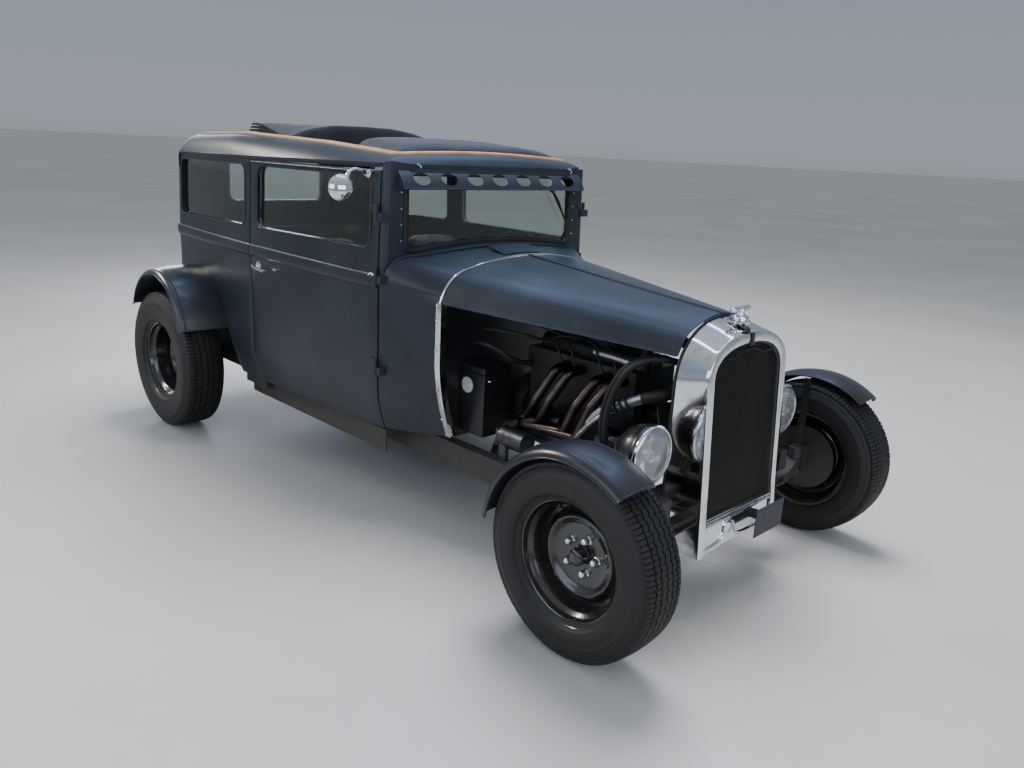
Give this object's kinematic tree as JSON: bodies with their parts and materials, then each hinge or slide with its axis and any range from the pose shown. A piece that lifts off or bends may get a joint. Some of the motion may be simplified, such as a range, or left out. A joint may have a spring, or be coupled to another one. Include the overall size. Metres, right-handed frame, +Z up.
{
  "type": "hot rod saloon car",
  "caption": "Chopped-fender hot rod with an enclosed boxy body, folding roof, open engine bay, arched bright radiator shell and wide steel wheels.",
  "frame": {"origin": "middle of the car's footprint, on the ground", "axes": "+X to the car's left, +Y to the rear, +Z up"},
  "size_m": [1.774, 3.4909, 1.5783],
  "materials": {
    "chassis_black": "satin",
    "axle_black": "satin",
    "spring_steel": "satin",
    "body_paint": "satin, aged",
    "chrome_trim": "polished",
    "roof_wood": "oiled",
    "roof_cloth": "coated cloth",
    "window_glass": "clear",
    "chrome_shell": "polished",
    "grille_black": "satin",
    "core_black": "matt",
    "lamp_black": "gloss",
    "lamp_glass": "fluted",
    "tail_red": "gloss",
    "engine_iron": "painted",
    "exhaust_steel": "heat stained",
    "cast_alloy": "cast",
    "hose_rubber": "matt",
    "box_black": "satin",
    "dash_paint": "satin",
    "seat_leather": "worn",
    "wheel_plastic": "satin",
    "plate_blue": "gloss",
    "fender_black": "satin",
    "tyre_rubber": "dusty",
    "wheel_steel": "satin"
  },
  "bodies": {
    "chassis": {"frame_rails": "chassis_black", "front_axle": "axle_black", "leaf_springs": "spring_steel", "radius_rods": "axle_black", "rear_axle": "axle_black", "floor_pan": "chassis_black", "wheel_houses": "chassis_black", "cowl": "body_paint", "firewall": "chassis_black", "cowl_band": "chrome_trim", "windscreen_surround": "body_paint", "quarter_panels": "body_paint", "rear_panel": "body_paint", "roof_shell": "body_paint", "roof_strips": "roof_wood", "roof_top": "roof_cloth", "window_glass": "window_glass", "visor": "body_paint", "radiator_shell": "chrome_shell", "grille": "grille_black", "radiator_core": "core_black", "hood_hinge": "body_paint", "headlamps": "lamp_black", "headlamp_lenses": "lamp_glass", "rear_fenders": "body_paint", "tail_lamps": "tail_red", "engine": "engine_iron", "exhaust": "exhaust_steel", "engine_fittings": "cast_alloy", "intake": "cast_alloy", "top_hose": "hose_rubber", "battery_box": "box_black", "dashboard": "dash_paint", "front_seats": "seat_leather", "rear_seat": "seat_leather", "steering_wheel": "wheel_plastic", "number_plate": "plate_blue", "door_hinges": "body_paint"},
    "door_right": {"door_right": "body_paint", "door_glass_right": "window_glass", "door_fittings_right": "chrome_trim"},
    "door_left": {"door_left": "body_paint", "door_glass_left": "window_glass", "door_fittings_left": "chrome_trim"},
    "hood_right": {"hood_right": "body_paint"},
    "hood_left": {"hood_left": "body_paint"},
    "knuckle_right": {"knuckle_right": "axle_black", "front_fender_right": "fender_black"},
    "knuckle_left": {"knuckle_left": "axle_black", "front_fender_left": "fender_black"},
    "tie_rod": {"tie_rod": "axle_black"},
    "wheel_front_right": {"wheel_front_right": "wheel_steel", "tyre_front_right": "tyre_rubber"},
    "wheel_front_left": {"wheel_front_left": "wheel_steel", "tyre_front_left": "tyre_rubber"},
    "wheel_rear_right": {"wheel_rear_right": "wheel_steel", "tyre_rear_right": "tyre_rubber"},
    "wheel_rear_left": {"wheel_rear_left": "wheel_steel", "tyre_rear_left": "tyre_rubber"}
  },
  "joints": [
    {"name": "steer_right", "type": "hinge", "parent": "chassis", "child": "knuckle_right", "pos_m": [-0.612, -1.4255, 0.32], "axis": [0, 0, 1], "range_deg": [-28, 28]},
    {"name": "wheel_front_right_spin", "type": "hinge", "parent": "knuckle_right", "child": "wheel_front_right", "pos_m": [-0.735, -1.4255, 0.32], "axis": [1, 0, 0], "continuous": true},
    {"name": "wheel_rear_right_spin", "type": "hinge", "parent": "chassis", "child": "wheel_rear_right", "pos_m": [-0.765, 1.3895, 0.356], "axis": [1, 0, 0], "continuous": true},
    {"name": "door_right_open", "type": "hinge", "parent": "chassis", "child": "door_right", "pos_m": [-0.612, -0.1765, 0.9], "axis": [0, 0, 1], "range_deg": [0, 65]},
    {"name": "hood_right_open", "type": "hinge", "parent": "chassis", "child": "hood_right", "pos_m": [0, -1.3735, 0.991], "axis": [0, 0.996, 0.0897], "range_deg": [0, 75]},
    {"name": "steer_left", "type": "hinge", "parent": "chassis", "child": "knuckle_left", "pos_m": [0.612, -1.4255, 0.32], "axis": [0, 0, 1], "range_deg": [-28, 28]},
    {"name": "wheel_front_left_spin", "type": "hinge", "parent": "knuckle_left", "child": "wheel_front_left", "pos_m": [0.735, -1.4255, 0.32], "axis": [1, 0, 0], "continuous": true},
    {"name": "wheel_rear_left_spin", "type": "hinge", "parent": "chassis", "child": "wheel_rear_left", "pos_m": [0.765, 1.3895, 0.356], "axis": [1, 0, 0], "continuous": true},
    {"name": "door_left_open", "type": "hinge", "parent": "chassis", "child": "door_left", "pos_m": [0.612, -0.1765, 0.9], "axis": [0, 0, -1], "range_deg": [0, 65]},
    {"name": "hood_left_open", "type": "hinge", "parent": "chassis", "child": "hood_left", "pos_m": [0, -1.3735, 0.991], "axis": [0, -0.996, -0.0897], "range_deg": [0, 75]},
    {"name": "tie_rod_swing", "type": "hinge", "parent": "knuckle_right", "child": "tie_rod", "pos_m": [-0.612, -1.2755, 0.176], "axis": [0, 0, 1], "range_deg": [-28, 28]}
  ],
  "couplings": [
    {"joint": "steer_left", "follows": "steer_right", "ratio": 1},
    {"joint": "tie_rod_swing", "follows": "steer_right", "ratio": -1}
  ]
}
